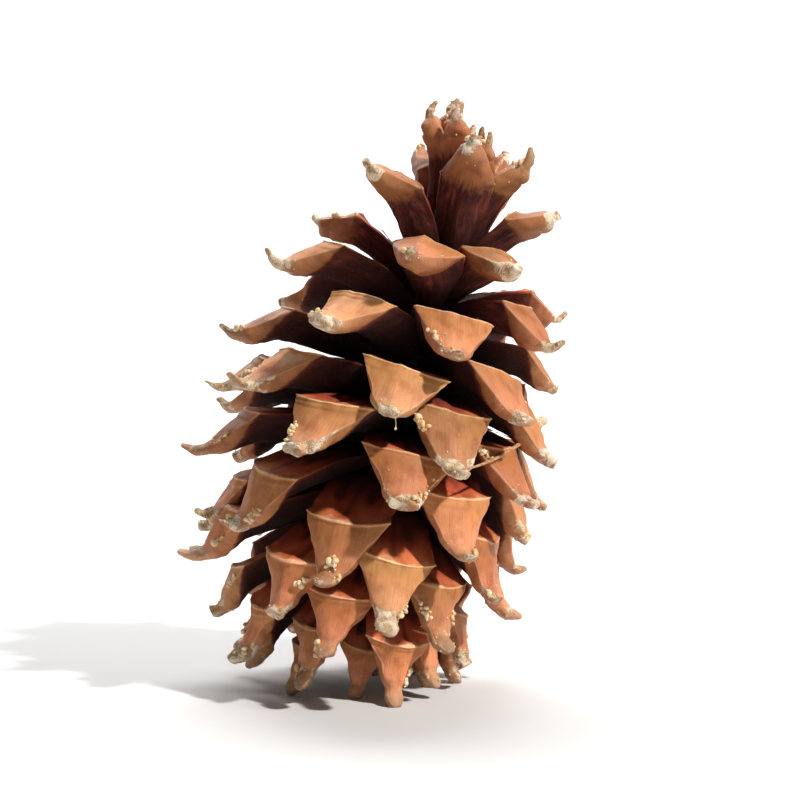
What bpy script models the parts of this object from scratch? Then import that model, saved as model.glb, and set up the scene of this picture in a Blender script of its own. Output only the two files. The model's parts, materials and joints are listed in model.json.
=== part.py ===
"""An opened pine cone with thick woody scales that end in hooked claws.

The cone is one grown piece: a core and the scales that sprout from it.
Scales are set round the core by the golden angle, from the lowest one up.
Lengths are in metres, Z runs up the core and the cone rests on its lowest claws.
"""
import math
import random

import bmesh
import bpy
from mathutils import Matrix, Vector

MM = 0.001
SEED = 3067

# The rule that sets the scales round the core.
SCALE_COUNT = 83
GOLDEN_ANGLE = math.radians(137.7)
FIRST_ANGLE = math.radians(168.0)

# The core starts off the middle and bends to one side as it rises.
CORE_START = -16.3
CORE_SIDES = 12
CORE_LEAN = ((0, 9.0), (60, 10.5), (100, 12.5), (145, 18.0), (165, 12.0), (180, 6.0))
CORE_PROFILE = (
    (20.0, 6.0), (23.0, 8.5), (32.0, 9.5), (100.0, 10.0),
    (145.0, 8.0), (165.0, 5.0), (174.0, 2.0),
)
ROOT_START = 4.0

# How deep the lowest claws are cut flat, and how much longer the blades are on the fuller side of the cone.
REST_CUT = 1.2
SWELL = 0.15
SWELL_SIDE = math.radians(-105.0)

# Each curve gives a size, in millimetres or degrees, against the number of a scale from the lowest one up.
ATTACH_HEIGHT = (
    (0, 40.0), (12, 48.0), (26, 75.5), (32, 87.0), (38, 92.5),
    (46, 105.0), (60, 133.0), (66, 145.0), (78, 164.0), (82, 168.0),
)
ROOT_PITCH = (
    (0, -40.0), (12, -20.0), (26, -10.0), (32, -6.0), (38, 8.0), (46, 18.0),
    (59, 30.0), (64, 46.0), (68, 60.0), (71, 82.0), (82, 92.0),
)
EDGE_PITCH = (
    (0, -58.0), (12, -44.0), (26, -38.0), (32, -34.0), (38, -22.0), (46, -13.0),
    (59, -4.0), (64, 10.0), (68, 22.0), (71, 66.0), (82, 86.0),
)
BLADE_LENGTH = (
    (0, 28.5), (12, 41.0), (19, 44.5), (26, 48.5), (32, 48.0), (38, 44.5),
    (46, 43.5), (60, 37.0), (66, 35.0), (72, 36.0), (82, 28.0),
)
HALF_WIDTH = ((0, 8.5), (12, 12.0), (20, 13.6), (28, 15.0), (46, 16.0), (60, 14.5), (72, 11.5), (82, 8.5))
FACE_LENGTH = ((0, 7.0), (12, 9.0), (26, 12.5), (46, 14.5), (60, 11.5), (72, 10.0), (82, 7.0))
DEPTH = ((0, 7.0), (12, 9.5), (26, 11.5), (46, 13.0), (60, 11.5), (72, 8.0), (82, 5.0))
CLAW_LENGTH = ((0, 7.0), (12, 9.0), (26, 10.0), (46, 10.0), (66, 8.5), (82, 6.0))
CLAW_DROP = ((0, 30.0), (12, 32.0), (26, 26.0), (46, 36.0), (66, 30.0), (82, 20.0))
CLAW_HOOK = ((0, 20.0), (12, 40.0), (26, 60.0), (46, 62.0), (66, 75.0), (82, 40.0))
ARCH = ((0, 2.0), (12, 2.0), (26, 1.5), (46, 0.5), (66, 0.5), (82, 1.5))

# The side where scales crowd: above each of these a smaller one is squeezed in, some steps up the spiral.
CROWD_SIDE = math.radians(-100.0)
CROWD_SPREAD = math.radians(40.0)
CROWD_RANGE = range(16, 45)
CROWD_STEP = 6.5
CROWD_TURN = math.radians(-5.0)
CROWD_SIZE = 0.8

# How far the edge of a scale bulges outward, as a share of its half width.
BOW = 0.36

# Rings of a blade: step along it, then shares of its width, depth and bow.
BLADE_RINGS = ((0, 0.42, 0.75, 0.0), (2, 0.82, 0.95, 0.2), (4, 1.0, 0.98, 1.0))


def curve(points, at):
    """Read a curve of (place, value) pairs at a place."""
    for (x0, y0), (x1, y1) in zip(points, points[1:]):
        if at <= x1:
            t = (at - x0) / (x1 - x0)
            return y0 + (y1 - y0) * t
    return points[-1][1]


def core_frame(height):
    """The place and lean of the core at a length along it."""
    x = CORE_START
    z = 0.0
    steps = 40
    for k in range(steps):
        lean = math.radians(curve(CORE_LEAN, height * (k + 0.5) / steps))
        x += math.sin(lean) * height / steps
        z += math.cos(lean) * height / steps
    lean = math.radians(curve(CORE_LEAN, height))
    return Matrix.Translation((x * MM, 0.0, z * MM)) @ Matrix.Rotation(lean, 4, "Y")


def remove_all():
    for obj in list(bpy.data.objects):
        bpy.data.objects.remove(obj, do_unlink=True)


def blade_line(length, root_pitch, edge_pitch, steps):
    """Points (radius, height, pitch) from the root of a scale out to its edge."""
    line = [(ROOT_START, 0.0, root_pitch)]
    radius = ROOT_START
    height = 0.0
    for k in range(steps):
        pitch = root_pitch + (edge_pitch - root_pitch) * (k + 0.5) / steps
        radius += math.cos(pitch) * length / steps
        height += math.sin(pitch) * length / steps
        line.append((radius, height, root_pitch + (edge_pitch - root_pitch) * (k + 1) / steps))
    return line


def ring(center, pitch, points):
    """Six points across a scale, given as (side, along, lift), about a centre (radius, height)."""
    out = []
    for side, along, lift in points:
        radius = center[0] + math.cos(pitch) * along - math.sin(pitch) * lift
        height = center[1] + math.sin(pitch) * along + math.cos(pitch) * lift
        out.append((side, radius, height))
    return out


def blade_ring(center, pitch, width, depth, arch, bow):
    points = (
        (-width, -0.5 * bow, -arch),
        (0.0, 0.5 * bow, 0.0),
        (width, -0.5 * bow, -arch),
        (0.55 * width, 0.0, -0.75 * depth),
        (0.0, 0.5 * bow, -depth),
        (-0.55 * width, 0.0, -0.75 * depth),
    )
    return ring(center, pitch, points)


def claw_ring(center, pitch, across, thick):
    points = (
        (-0.87 * across, 0.0, 0.5 * thick),
        (0.0, 0.0, thick),
        (0.87 * across, 0.0, 0.5 * thick),
        (0.87 * across, 0.0, -0.5 * thick),
        (0.0, 0.0, -thick),
        (-0.87 * across, 0.0, -0.5 * thick),
    )
    return ring(center, pitch, points)


def growth():
    """Each scale as (index, angle, size): the spiral, then those squeezed in on the crowded side."""
    spiral = [(index, FIRST_ANGLE + GOLDEN_ANGLE * index, 1.0) for index in range(SCALE_COUNT)]
    extra = []
    for index, angle, size in spiral:
        away = math.remainder(angle - CROWD_SIDE, 2.0 * math.pi)
        if index in CROWD_RANGE and abs(away) < CROWD_SPREAD:
            extra.append((index + CROWD_STEP, angle + CROWD_TURN, CROWD_SIZE * size))
    return spiral + extra


def scale_rings(index, angle, size, draw):
    """All rings of one scale, from its root to the tip of its claw."""
    root_pitch = math.radians(curve(ROOT_PITCH, index) + draw.uniform(-7.0, 7.0))
    edge_pitch = math.radians(curve(EDGE_PITCH, index) + draw.uniform(-8.0, 8.0))
    length = curve(BLADE_LENGTH, index) * draw.uniform(0.97, 1.03)
    length *= 1.0 + SWELL * math.cos(angle - SWELL_SIDE)
    width = size * curve(HALF_WIDTH, index) * draw.uniform(0.94, 1.06)
    face = size * curve(FACE_LENGTH, index) * draw.uniform(0.93, 1.07)
    depth = size * curve(DEPTH, index) * draw.uniform(0.94, 1.06)
    claw = curve(CLAW_LENGTH, index) * draw.uniform(0.85, 1.15)
    hook = math.radians(curve(CLAW_HOOK, index) * draw.uniform(0.8, 1.2))
    arch = curve(ARCH, index)
    bow = BOW * width
    line = blade_line(length, root_pitch, edge_pitch, 4)

    rings = []
    for part, wide, deep, bent in BLADE_RINGS:
        radius, high, pitch = line[part]
        rings.append(blade_ring((radius, high), pitch, width * wide, depth * deep, arch * wide, bow * bent))

    radius, high, pitch = line[-1]
    out = (math.cos(pitch), math.sin(pitch))
    up = (-math.sin(pitch), math.cos(pitch))

    def spot(along, lift):
        return radius + out[0] * along + up[0] * lift, high + out[1] * along + up[1] * lift

    middle = (
        (-0.76 * width, -0.25 * bow, -0.42 * depth),
        (0.0, 0.45 * bow, -0.36 * depth),
        (0.76 * width, -0.25 * bow, -0.42 * depth),
        (0.48 * width, 0.0, -0.98 * depth),
        (0.0, 0.25 * bow, -1.10 * depth),
        (-0.48 * width, 0.0, -0.98 * depth),
    )
    rings.append(ring(spot(0.5 * face, 0.0), pitch, middle))

    claw_pitch = pitch - math.radians(curve(CLAW_DROP, index))
    center = spot(face + 0.3 * bow, -0.98 * depth)
    across = 0.42 * width
    rings.append(claw_ring(center, claw_pitch, across, 3.2))
    for wide, thick in ((0.72, 2.3), (0.36, 1.0)):
        claw_pitch += hook / 2.0
        ahead = claw / 2.0
        center = (center[0] + math.cos(claw_pitch) * ahead, center[1] + math.sin(claw_pitch) * ahead)
        rings.append(claw_ring(center, claw_pitch, across * wide, thick))
    return rings


def scale_object(index, angle, size, draw):
    angle += math.radians(draw.uniform(-6.0, 6.0))
    tilt = math.radians(draw.uniform(-5.0, 5.0))
    frame = core_frame(curve(ATTACH_HEIGHT, index) + draw.uniform(-2.5, 2.5))
    rings = scale_rings(index, angle, size, draw)
    mesh = bmesh.new()
    hoops = []
    for sides in rings:
        hoop = []
        middle = sum(point[2] for point in sides) / len(sides)
        for side, radius, height in sides:
            turned = side * math.cos(tilt) - (height - middle) * math.sin(tilt)
            raised = middle + side * math.sin(tilt) + (height - middle) * math.cos(tilt)
            x = radius * math.sin(angle) + turned * math.cos(angle)
            y = -radius * math.cos(angle) + turned * math.sin(angle)
            hoop.append(mesh.verts.new(frame @ Vector((x * MM, y * MM, raised * MM))))
        hoops.append(hoop)
    for lower, upper in zip(hoops, hoops[1:]):
        for k in range(6):
            n = (k + 1) % 6
            mesh.faces.new((lower[k], lower[n], upper[n], upper[k]))
    mesh.faces.new(list(reversed(hoops[0])))
    mesh.faces.new(hoops[-1])
    bmesh.ops.triangulate(mesh, faces=mesh.faces[:])
    bmesh.ops.recalc_face_normals(mesh, faces=mesh.faces[:])
    return mesh_object("scale", mesh)


def mesh_object(name, mesh):
    data = bpy.data.meshes.new(name)
    mesh.to_mesh(data)
    mesh.free()
    return bpy.data.objects.new(name, data)


def core_object():
    mesh = bmesh.new()
    hoops = []
    for height, radius in CORE_PROFILE:
        hoop = []
        frame = core_frame(height)
        for k in range(CORE_SIDES):
            angle = 2.0 * math.pi * k / CORE_SIDES
            spot = Vector((radius * math.cos(angle) * MM, radius * math.sin(angle) * MM, 0.0))
            hoop.append(mesh.verts.new(frame @ spot))
        hoops.append(hoop)
    for lower, upper in zip(hoops, hoops[1:]):
        for k in range(CORE_SIDES):
            n = (k + 1) % CORE_SIDES
            mesh.faces.new((lower[k], lower[n], upper[n], upper[k]))
    mesh.faces.new(list(reversed(hoops[0])))
    mesh.faces.new(hoops[-1])
    bmesh.ops.recalc_face_normals(mesh, faces=mesh.faces[:])
    return mesh_object("cone", mesh)


def apply_modifiers(obj):
    bpy.context.view_layer.update()
    graph = bpy.context.evaluated_depsgraph_get()
    data = bpy.data.meshes.new_from_object(obj.evaluated_get(graph))
    obj.modifiers.clear()
    obj.data = data


def fuse_scales(cone):
    draw = random.Random(SEED)
    group = bpy.data.collections.new("scales")
    bpy.context.scene.collection.children.link(group)
    for index, angle, size in growth():
        group.objects.link(scale_object(index, angle, size, draw))
    union = cone.modifiers.new("join scales", "BOOLEAN")
    union.operation = "UNION"
    union.operand_type = "COLLECTION"
    union.collection = group
    union.solver = "MANIFOLD"
    apply_modifiers(cone)
    for obj in list(group.objects):
        bpy.data.objects.remove(obj, do_unlink=True)
    bpy.data.collections.remove(group)


def keep_main_shell(cone):
    """Drop every shell but the largest, which fills sealed hollows and clears loose scraps."""
    mesh = bmesh.new()
    mesh.from_mesh(cone.data)
    left = set(mesh.verts)
    shells = []
    while left:
        front = [left.pop()]
        shell = list(front)
        while front:
            vert = front.pop()
            for edge in vert.link_edges:
                other = edge.other_vert(vert)
                if other in left:
                    left.remove(other)
                    front.append(other)
                    shell.append(other)
        shells.append(shell)
    shells.sort(key=len)
    for shell in shells[:-1]:
        bmesh.ops.delete(mesh, geom=shell, context="VERTS")
    mesh.to_mesh(cone.data)
    mesh.free()


def flatten_feet(cone):
    """Cut small flats on the lowest claws so that the cone rests on the ground."""
    mesh = bmesh.new()
    bmesh.ops.create_cube(mesh, size=1.0)
    for vert in mesh.verts:
        vert.co.x *= 0.3
        vert.co.y *= 0.3
        vert.co.z = vert.co.z * 0.04 - 0.02 + REST_CUT * MM
    cutter = mesh_object("ground_cutter", mesh)
    cutter.hide_render = True
    cutter.display_type = "WIRE"
    bpy.context.scene.collection.objects.link(cutter)
    cut = cone.modifiers.new("cut feet", "BOOLEAN")
    cut.operation = "DIFFERENCE"
    cut.object = cutter
    cut.solver = "MANIFOLD"
    apply_modifiers(cone)
    bpy.data.objects.remove(cutter, do_unlink=True)


def put_on_origin(cone):
    """Move the cone so that its feet are at zero height and its box is centred on the Z axis."""
    spots = [vert.co for vert in cone.data.vertices]
    middle_x = (min(spot.x for spot in spots) + max(spot.x for spot in spots)) / 2.0
    middle_y = (min(spot.y for spot in spots) + max(spot.y for spot in spots)) / 2.0
    cone.data.transform(Matrix.Translation((-middle_x, -middle_y, -REST_CUT * MM)))


def paint(cone):
    material = bpy.data.materials.new("woody_scale")
    material.use_nodes = True
    shader = material.node_tree.nodes["Principled BSDF"]
    shader.inputs["Base Color"].default_value = (0.36, 0.17, 0.08, 1.0)
    shader.inputs["Roughness"].default_value = 0.65
    cone.data.materials.clear()
    cone.data.materials.append(material)


def main():
    remove_all()
    cone = core_object()
    bpy.context.scene.collection.objects.link(cone)
    fuse_scales(cone)
    keep_main_shell(cone)
    flatten_feet(cone)
    put_on_origin(cone)
    paint(cone)


main()
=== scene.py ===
"""The look of an opened pine cone with thick woody scales that end in hooked claws.

Each scale is grown again from the same rule and the same draws as in the frame, with smooth curves,
fine relief and crusted claws. Resin, wing slivers and a dry needle are added on top.
Lengths are in metres where nothing else is said; the rule for the scales works in millimetres.
"""

import itertools
import json
import math
import random

import bmesh
import bpy
import numpy as np
from mathutils import Matrix, Vector

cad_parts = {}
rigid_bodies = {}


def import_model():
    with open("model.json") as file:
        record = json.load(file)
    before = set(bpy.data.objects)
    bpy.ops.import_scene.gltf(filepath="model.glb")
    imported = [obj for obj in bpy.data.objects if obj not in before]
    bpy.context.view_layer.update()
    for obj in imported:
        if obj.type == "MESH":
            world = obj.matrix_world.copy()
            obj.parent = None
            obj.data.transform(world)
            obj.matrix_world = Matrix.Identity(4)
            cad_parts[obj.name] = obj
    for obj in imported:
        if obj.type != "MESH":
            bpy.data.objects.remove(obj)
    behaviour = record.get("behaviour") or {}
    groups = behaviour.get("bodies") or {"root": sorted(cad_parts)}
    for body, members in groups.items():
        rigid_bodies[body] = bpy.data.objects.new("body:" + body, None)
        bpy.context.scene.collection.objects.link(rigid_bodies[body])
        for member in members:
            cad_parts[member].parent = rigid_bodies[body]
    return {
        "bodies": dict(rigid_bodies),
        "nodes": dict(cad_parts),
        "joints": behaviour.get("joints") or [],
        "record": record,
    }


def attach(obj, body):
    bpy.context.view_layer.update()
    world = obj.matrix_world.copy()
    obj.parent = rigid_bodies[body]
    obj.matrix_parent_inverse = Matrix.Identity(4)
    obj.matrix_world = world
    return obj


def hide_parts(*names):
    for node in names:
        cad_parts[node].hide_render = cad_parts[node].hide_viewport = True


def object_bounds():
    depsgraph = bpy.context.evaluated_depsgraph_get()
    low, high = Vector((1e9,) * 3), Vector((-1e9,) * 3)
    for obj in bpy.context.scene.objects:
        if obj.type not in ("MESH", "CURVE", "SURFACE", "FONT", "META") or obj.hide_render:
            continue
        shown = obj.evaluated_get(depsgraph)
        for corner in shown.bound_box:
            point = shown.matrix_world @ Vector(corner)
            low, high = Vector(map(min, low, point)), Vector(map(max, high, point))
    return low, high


MM = 0.001
SEED = 3067

# The rule that sets the scales round the core, as in the frame.
SCALE_COUNT = 83
GOLDEN_ANGLE = math.radians(137.7)
FIRST_ANGLE = math.radians(168.0)
# The core starts off the middle and bends to one side as it rises.
CORE_START = -16.3
CORE_LEAN = ((0, 9.0), (60, 10.5), (100, 12.5), (145, 18.0), (165, 12.0), (180, 6.0))
CORE_PROFILE = (
    (20.0, 6.0), (23.0, 8.5), (32.0, 9.5), (100.0, 10.0),
    (145.0, 8.0), (165.0, 5.0), (174.0, 2.0),
)
ROOT_START = 4.0
# How deep the lowest claws are cut flat, and how much longer the blades are on the fuller side of the cone.
REST_CUT = 1.2
SWELL = 0.15
SWELL_SIDE = math.radians(-105.0)
# Each curve gives a size, in millimetres or degrees, against the number of a scale from the lowest one up.
ATTACH_HEIGHT = (
    (0, 40.0), (12, 48.0), (26, 75.5), (32, 87.0), (38, 92.5),
    (46, 105.0), (60, 133.0), (66, 145.0), (78, 164.0), (82, 168.0),
)
ROOT_PITCH = (
    (0, -40.0), (12, -20.0), (26, -10.0), (32, -6.0), (38, 8.0), (46, 18.0),
    (59, 30.0), (64, 46.0), (68, 60.0), (71, 82.0), (82, 92.0),
)
EDGE_PITCH = (
    (0, -58.0), (12, -44.0), (26, -38.0), (32, -34.0), (38, -22.0), (46, -13.0),
    (59, -4.0), (64, 10.0), (68, 22.0), (71, 66.0), (82, 86.0),
)
BLADE_LENGTH = (
    (0, 28.5), (12, 41.0), (19, 44.5), (26, 48.5), (32, 48.0), (38, 44.5),
    (46, 43.5), (60, 37.0), (66, 35.0), (72, 36.0), (82, 28.0),
)
HALF_WIDTH = ((0, 8.5), (12, 12.0), (20, 13.6), (28, 15.0), (46, 16.0), (60, 14.5), (72, 11.5), (82, 8.5))
FACE_LENGTH = ((0, 7.0), (12, 9.0), (26, 12.5), (46, 14.5), (60, 11.5), (72, 10.0), (82, 7.0))
DEPTH = ((0, 7.0), (12, 9.5), (26, 11.5), (46, 13.0), (60, 11.5), (72, 8.0), (82, 5.0))
ARCH = ((0, 2.0), (12, 2.0), (26, 1.5), (46, 0.5), (66, 0.5), (82, 1.5))
CLAW_LENGTH = ((0, 7.0), (12, 9.0), (26, 10.0), (46, 10.0), (66, 8.5), (82, 6.0))
CLAW_DROP = ((0, 30.0), (12, 32.0), (26, 26.0), (46, 36.0), (66, 30.0), (82, 20.0))
CLAW_HOOK = ((0, 20.0), (12, 40.0), (26, 60.0), (46, 62.0), (66, 75.0), (82, 40.0))
# How far the edge of a scale bulges outward, as a share of its half width.
BOW = 0.36
# Rings of a blade: step along it, then shares of its width, depth and bow.
BLADE_RINGS = ((0, 0.42, 0.75, 0.0), (2, 0.82, 0.95, 0.2), (4, 1.0, 0.98, 1.0))
# How far the side points of a ring across a claw lie from its middle, as a share of its half width.
OVAL_SIDE = 0.87
# The side where scales crowd: above each of these a smaller one is squeezed in, some steps up the spiral.
CROWD_SIDE = math.radians(-100.0)
CROWD_SPREAD = math.radians(40.0)
CROWD_RANGE = range(16, 45)
CROWD_STEP = 6.5
CROWD_TURN = math.radians(-5.0)
CROWD_SIZE = 0.8

# Places along a scale count its rings: root, mid blade, ridge, mid face, claw base, mid claw, claw tip.
RIDGE = 2
CLAW = 4
# Fine rows from each ring to the next, and fine columns on the upper and the under side.
SEGMENT_STEPS = (8, 16, 18, 14, 12, 12)
SEGMENTS = len(SEGMENT_STEPS)
TOP_COLUMNS = 20
UNDER_COLUMNS = 27
GROUPS = 8
CORE_COLUMNS = 48
CORE_ROWS = 90
# How far apart the grain of two scales lies, and that of the two sides of a scale, in millimetres.
SCALES_APART = 37.0
SIDES_APART = 50.0

# Scales by number: the last one that may reach the ground on a whole claw, and the last below the tuft.
LAST_FOOT = 14
LAST_BODY = 58
# Over these numbers scales turn into slim tuft scales, lose their blunt fingers and gain more crust.
TUFT_SCALES = (56.0, 66.0)
FINGER_SCALES = (14.0, 40.0)
CRUST_SCALES = (20.0, 46.0)
# How often the tip of a claw has broken off, in general and where the claws are brittle.
BREAK_CHANCE = 0.35
BRITTLE_CHANCE = 0.85
BRITTLE_SCALES = range(66, 74)
# Shares of the width: the waist of a face, some way past the ridge, and how slim claws and tuft are.
WAIST = 0.10
WAIST_AT = 1.35
FINGER_WAIST = 0.16
CLAW_SLIM = 0.22
TUFT_CLAW_SLIM = 0.26
TUFT_SLIM = 0.12
# How much wider and thicker the blunt fingers of the low claws are.
FINGER_BLUNT = 0.8
FINGER_THICK = 0.25
# The rows that close the tip of a claw, each by its size and how far ahead it lies, then the tip itself.
WHOLE_CAPS = ((0.80, 0.35), (0.45, 0.60))
BROKEN_CAPS = ((0.82, 0.08), (0.45, 0.0))
WHOLE_TIP = 0.7
BROKEN_TIP = -0.15
# Relief of a scale in millimetres, and where its two seeds have lain: along it, and aside of its fold.
KEEL_HEIGHTS = (0.4, 0.9, 1.4, 1.8)
BACK_KEEL = 1.1
SPINE_HEIGHT = 0.6
SKIN_STEP = 0.4
RIM_HEIGHT = 0.45
STEP_DEPTHS = (0.0, 0.0, 0.25, 0.4)
FOLD_DEPTH = 0.35
SEED_DEPTH = 0.5
SEED_AT = 1.30
SEED_ASIDE = 0.42
CRUST_HEIGHT = 0.45

# Heaps of resin by scale: how far along it, which column of its upper side, how many lumps.
RESIN_HEAPS = {
    9: (3.2, 16, 12), 12: (3.6, 17, 14), 14: (3.4, 3, 10), 20: (3.3, 2, 22), 22: (3.0, 16, 12),
    27: (3.4, 3, 10), 30: (3.8, 10, 20), 35: (3.7, 16, 34), 36: (3.2, 16, 9), 38: (4.0, 14, 12),
    41: (2.4, 2, 16), 43: (3.5, 3, 30), 46: (2.9, 1, 16), 49: (3.0, 16, 8), 56: (4.2, 8, 10),
}
# Resin keeps to the rows from this one on, and mostly to the columns at both edges.
FIRST_RESIN_ROW = 28
EDGE_COLUMNS = (0, 1, 2, TOP_COLUMNS - 3, TOP_COLUMNS - 2, TOP_COLUMNS - 1)
LUMP_SIZES = (0.30, 1.25)
CRUMB_SIZES = (0.18, 0.42)
DRIP_SCALE = 51
DRIP_LENGTH = 4.2
NEEDLE_CLAW = 46
NEEDLE_RIDGE = 41
NEEDLE_COLUMN = 12
TUBE_SIDES = 10
SLIVER_CHANCE = 0.15
TUFT_SLIVER_CHANCE = 0.85
SLIVER_THICK = 0.14

# The photo's camera, in millimetres before the cone is put on the origin.
CAMERA_DISTANCE = 540.0
CAMERA_TARGET = 104.0
CAMERA_LENS = 67.5
# Each light: its name, where it stands, where it points, how wide it is, its power and its colour.
LIGHTS = (
    ("key", (1.28, -0.98, 1.62), (0.0, 0.0, 0.1), 0.13, 59.0, (1.0, 0.97, 0.93)),
    ("back", (-0.9, 1.5, 1.3), (0.0, 0.0, 0.1), 0.6, 9.0, (1.0, 1.0, 1.0)),
    ("backdrop", (0.0, 0.9, 1.9), (0.0, 2.0, 0.4), 1.6, 60.0, (1.0, 1.0, 1.0)),
)
WORLD_STRENGTH = 0.10
# The floor, and the bend in which it rises into the wall.
FLOOR_FRONT = -3.0
FLOOR_HALF_WIDTH = 4.0
BEND_START = 1.2
BEND_RADIUS = 0.8
BEND_STEPS = 24
WALL_TOP = 3.0


def curve(points, at):
    """Read a curve of (place, value) points, with straight lines between them."""
    for (x0, y0), (x1, y1) in zip(points, points[1:]):
        if at <= x1:
            t = (at - x0) / (x1 - x0)
            return y0 + (y1 - y0) * t
    return points[-1][1]


def core_frame(height):
    """The place and lean of the core at a length along it, in millimetres."""
    x = CORE_START
    z = 0.0
    steps = 40
    for k in range(steps):
        lean = math.radians(curve(CORE_LEAN, height * (k + 0.5) / steps))
        x += math.sin(lean) * height / steps
        z += math.cos(lean) * height / steps
    lean = math.radians(curve(CORE_LEAN, height))
    return Matrix.Translation((x, 0.0, z)) @ Matrix.Rotation(lean, 4, "Y")


def blade_line(length, root_pitch, edge_pitch, steps):
    """Points (radius, height, pitch) from the root of a scale out to its edge."""
    line = [(ROOT_START, 0.0, root_pitch)]
    radius = ROOT_START
    height = 0.0
    for k in range(steps):
        pitch = root_pitch + (edge_pitch - root_pitch) * (k + 0.5) / steps
        radius += math.cos(pitch) * length / steps
        height += math.sin(pitch) * length / steps
        line.append((radius, height, root_pitch + (edge_pitch - root_pitch) * (k + 1) / steps))
    return line


def ring(center, pitch, points):
    """Six points across a scale, given as (side, along, lift), about a centre (radius, height)."""
    out = []
    for side, along, lift in points:
        radius = center[0] + math.cos(pitch) * along - math.sin(pitch) * lift
        height = center[1] + math.sin(pitch) * along + math.cos(pitch) * lift
        out.append((side, radius, height))
    return out


def blade_ring(center, pitch, width, depth, arch, bow):
    points = (
        (-width, -0.5 * bow, -arch),
        (0.0, 0.5 * bow, 0.0),
        (width, -0.5 * bow, -arch),
        (0.55 * width, 0.0, -0.75 * depth),
        (0.0, 0.5 * bow, -depth),
        (-0.55 * width, 0.0, -0.75 * depth),
    )
    return ring(center, pitch, points)


def claw_ring(center, pitch, across, thick):
    side = OVAL_SIDE * across
    points = (
        (-side, 0.0, 0.5 * thick),
        (0.0, 0.0, thick),
        (side, 0.0, 0.5 * thick),
        (side, 0.0, -0.5 * thick),
        (0.0, 0.0, -thick),
        (-side, 0.0, -0.5 * thick),
    )
    return ring(center, pitch, points)


def growth():
    """Each scale as (index, angle, size): the spiral, then those squeezed in on the crowded side."""
    spiral = [(index, FIRST_ANGLE + GOLDEN_ANGLE * index, 1.0) for index in range(SCALE_COUNT)]
    extra = []
    for index, angle, size in spiral:
        away = math.remainder(angle - CROWD_SIDE, 2.0 * math.pi)
        if index in CROWD_RANGE and abs(away) < CROWD_SPREAD:
            extra.append((index + CROWD_STEP, angle + CROWD_TURN, CROWD_SIZE * size))
    return spiral + extra


def scale_rings(index, angle, size, draw):
    """The rings of one scale in the frame, from its root to the tip of its claw."""
    root_pitch = math.radians(curve(ROOT_PITCH, index) + draw.uniform(-7.0, 7.0))
    edge_pitch = math.radians(curve(EDGE_PITCH, index) + draw.uniform(-8.0, 8.0))
    length = curve(BLADE_LENGTH, index) * draw.uniform(0.97, 1.03)
    length *= 1.0 + SWELL * math.cos(angle - SWELL_SIDE)
    width = size * curve(HALF_WIDTH, index) * draw.uniform(0.94, 1.06)
    face = size * curve(FACE_LENGTH, index) * draw.uniform(0.93, 1.07)
    depth = size * curve(DEPTH, index) * draw.uniform(0.94, 1.06)
    claw = curve(CLAW_LENGTH, index) * draw.uniform(0.85, 1.15)
    hook = math.radians(curve(CLAW_HOOK, index) * draw.uniform(0.8, 1.2))
    arch = curve(ARCH, index)
    bow = BOW * width
    line = blade_line(length, root_pitch, edge_pitch, 4)

    rings = []
    for part, wide, deep, bent in BLADE_RINGS:
        radius, high, pitch = line[part]
        rings.append(blade_ring((radius, high), pitch, width * wide, depth * deep, arch * wide, bow * bent))

    radius, high, pitch = line[-1]
    out = (math.cos(pitch), math.sin(pitch))
    up = (-math.sin(pitch), math.cos(pitch))

    def spot(along, lift):
        return radius + out[0] * along + up[0] * lift, high + out[1] * along + up[1] * lift

    middle = (
        (-0.76 * width, -0.25 * bow, -0.42 * depth),
        (0.0, 0.45 * bow, -0.36 * depth),
        (0.76 * width, -0.25 * bow, -0.42 * depth),
        (0.48 * width, 0.0, -0.98 * depth),
        (0.0, 0.25 * bow, -1.10 * depth),
        (-0.48 * width, 0.0, -0.98 * depth),
    )
    rings.append(ring(spot(0.5 * face, 0.0), pitch, middle))

    claw_pitch = pitch - math.radians(curve(CLAW_DROP, index))
    center = spot(face + 0.3 * bow, -0.98 * depth)
    across = 0.42 * width
    rings.append(claw_ring(center, claw_pitch, across, 3.2))
    for wide, thick in ((0.72, 2.3), (0.36, 1.0)):
        claw_pitch += hook / 2.0
        ahead = claw / 2.0
        center = (center[0] + math.cos(claw_pitch) * ahead, center[1] + math.sin(claw_pitch) * ahead)
        rings.append(claw_ring(center, claw_pitch, across * wide, thick))
    return rings


def scale_plan(index, angle, size, draw):
    """The rings of a scale and what turns them into place."""
    angle += math.radians(draw.uniform(-6.0, 6.0))
    tilt = math.radians(draw.uniform(-5.0, 5.0))
    frame = core_frame(curve(ATTACH_HEIGHT, index) + draw.uniform(-2.5, 2.5))
    rings = np.array(scale_rings(index, angle, size, draw))
    return {"index": index, "angle": angle, "tilt": tilt, "frame": np.array(frame), "rings": rings}


def put_in_place(plan, points):
    """Turn rings of (side, radius, height) points into places on the cone."""
    side, radius, height = points[..., 0], points[..., 1], points[..., 2]
    middles = height.mean(axis=1, keepdims=True)
    turn, tilt = plan["angle"], plan["tilt"]
    turned = side * math.cos(tilt) - (height - middles) * math.sin(tilt)
    raised = middles + side * math.sin(tilt) + (height - middles) * math.cos(tilt)
    x = radius * math.sin(turn) + turned * math.cos(turn)
    y = -radius * math.cos(turn) + turned * math.sin(turn)
    placed = np.stack([x, y, raised], -1)
    return placed @ plan["frame"][:3, :3].T + plan["frame"][:3, 3]


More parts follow.
